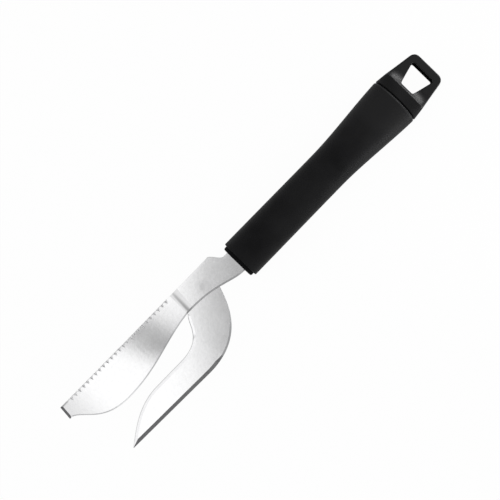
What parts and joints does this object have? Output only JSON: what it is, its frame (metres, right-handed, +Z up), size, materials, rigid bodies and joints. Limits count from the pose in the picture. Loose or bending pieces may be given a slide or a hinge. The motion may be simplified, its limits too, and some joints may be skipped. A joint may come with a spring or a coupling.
{
  "type": "fish knife",
  "caption": "Fish knife with a bowed, toothed scaling blade and a flat, hooked gutting blade of sheet steel, set side by side in a dark moulded handle with a soft grip and a hang hole.",
  "frame": {"origin": "under the middle of the knife's bounding box, on the plane that its lowest point touches", "axes": "+X from the handle towards the blade tips, +Y from the scaling blade towards the gutting blade, +Z up out of the ground side of the blades"},
  "size_m": [0.2382, 0.0404, 0.0206],
  "materials": {
    "blade_steel": "fine satin grind",
    "hard_plastic": "smooth satin",
    "soft_plastic": "matt, fine grain"
  },
  "bodies": {
    "root": {"scaling_blade": "blade_steel", "gutting_blade": "blade_steel", "handle_core": "hard_plastic", "grip_sleeve": "soft_plastic"}
  },
  "joints": []
}
